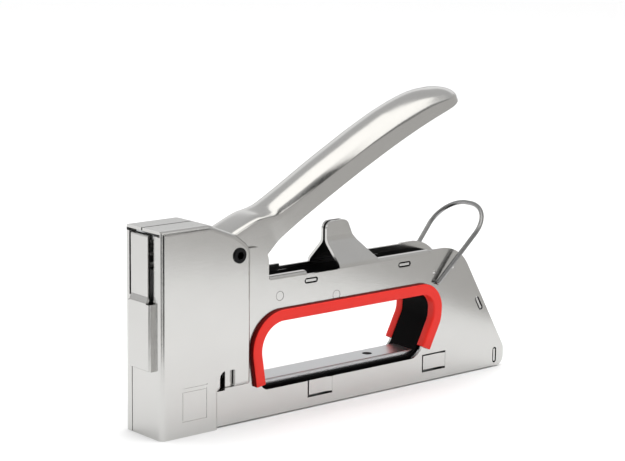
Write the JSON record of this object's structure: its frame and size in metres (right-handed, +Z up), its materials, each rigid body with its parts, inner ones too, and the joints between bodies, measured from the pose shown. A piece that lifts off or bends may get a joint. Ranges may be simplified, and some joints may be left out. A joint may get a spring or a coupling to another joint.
{
  "type": "staple gun",
  "caption": "Hand-squeezed staple gun: chromed pressed-steel body and lever, red hand-opening trim, sliding staple magazine and wire lock bail.",
  "frame": {"origin": "the nose front's lower edge on the mid plane, where the staple is driven; the foot of the nose lies in Z = 0", "axes": "+X from the nose front to the tail, +Y across to the tool's right side, +Z up from the work surface to the lever"},
  "size_m": [0.1951, 0.0312, 0.1285],
  "materials": {
    "chrome_sheet": "bright nickel-chrome plate on pressed steel",
    "black_oxide": "black oxide steel",
    "black_plastic": "matt black moulded plastic",
    "red_plastic": "satin red moulded plastic",
    "zinc_steel": "zinc-plated steel",
    "hardened_steel": "ground hardened steel",
    "spring_steel": "oil-tempered spring wire",
    "black_rubber": "moulded rubber",
    "staple_wire": "galvanised glued wire",
    "bail_wire": "bright drawn wire"
  },
  "bodies": {
    "root": {"left_side_shell": "chrome_sheet", "right_side_shell": "chrome_sheet", "spine_strip": "black_oxide", "opening_liner": "black_plastic", "left_grip_trim": "red_plastic", "right_grip_trim": "red_plastic", "magazine_channel": "zinc_steel", "nose_guide": "hardened_steel", "bumper": "black_rubber", "spring_seat": "zinc_steel", "pivot_screw": "black_oxide", "pivot_nut": "black_oxide", "pivot_sleeve": "hardened_steel", "shell_pins": "chrome_sheet", "lever_return_spring": "spring_steel", "main_spring": "spring_steel"},
    "lever": {"lever": "chrome_sheet", "lifter_fork": "hardened_steel", "lifter_rivets": "zinc_steel"},
    "hammer": {"hammer": "hardened_steel", "driver_blade": "hardened_steel", "blade_rivets": "zinc_steel"},
    "magazine": {"magazine_rail": "zinc_steel", "magazine_end_cap": "black_plastic", "pusher_rod": "zinc_steel", "magazine_catch": "spring_steel", "staple_strip": "staple_wire", "pusher_spring": "spring_steel"},
    "pusher": {"pusher": "zinc_steel"},
    "bail": {"lock_bail": "bail_wire"}
  },
  "joints": [
    {"name": "lever_pivot", "type": "hinge", "parent": "root", "child": "lever", "pos_m": [0.0386, 0, 0.0702], "axis": [0, 1, 0], "range_deg": [0, 26], "stiffness_Nm_per_rad": 12, "springref_deg": -28.65, "deforming": ["lever_return_spring"]},
    {"name": "hammer_lift", "type": "slide", "parent": "root", "child": "hammer", "axis": [0, 0, 1], "range_m": [0, 0.0129], "deforming": ["main_spring"]},
    {"name": "magazine_draw", "type": "slide", "parent": "root", "child": "magazine", "axis": [1, 0, 0], "range_m": [0, 0.115], "deforming": ["magazine_catch"]},
    {"name": "pusher_travel", "type": "slide", "parent": "magazine", "child": "pusher", "axis": [1, 0, 0], "range_m": [0, 0.08], "stiffness_N_per_m": 60, "springref_m": -0.06, "deforming": ["pusher_spring"]},
    {"name": "bail_swing", "type": "hinge", "parent": "root", "child": "bail", "pos_m": [0.1491, 0, 0.0444], "axis": [0, 1, 0], "range_deg": [-58, 64]}
  ],
  "couplings": [
    {"joint": "hammer_lift", "follows": "lever_pivot", "m_per_rad": 0.0282}
  ]
}
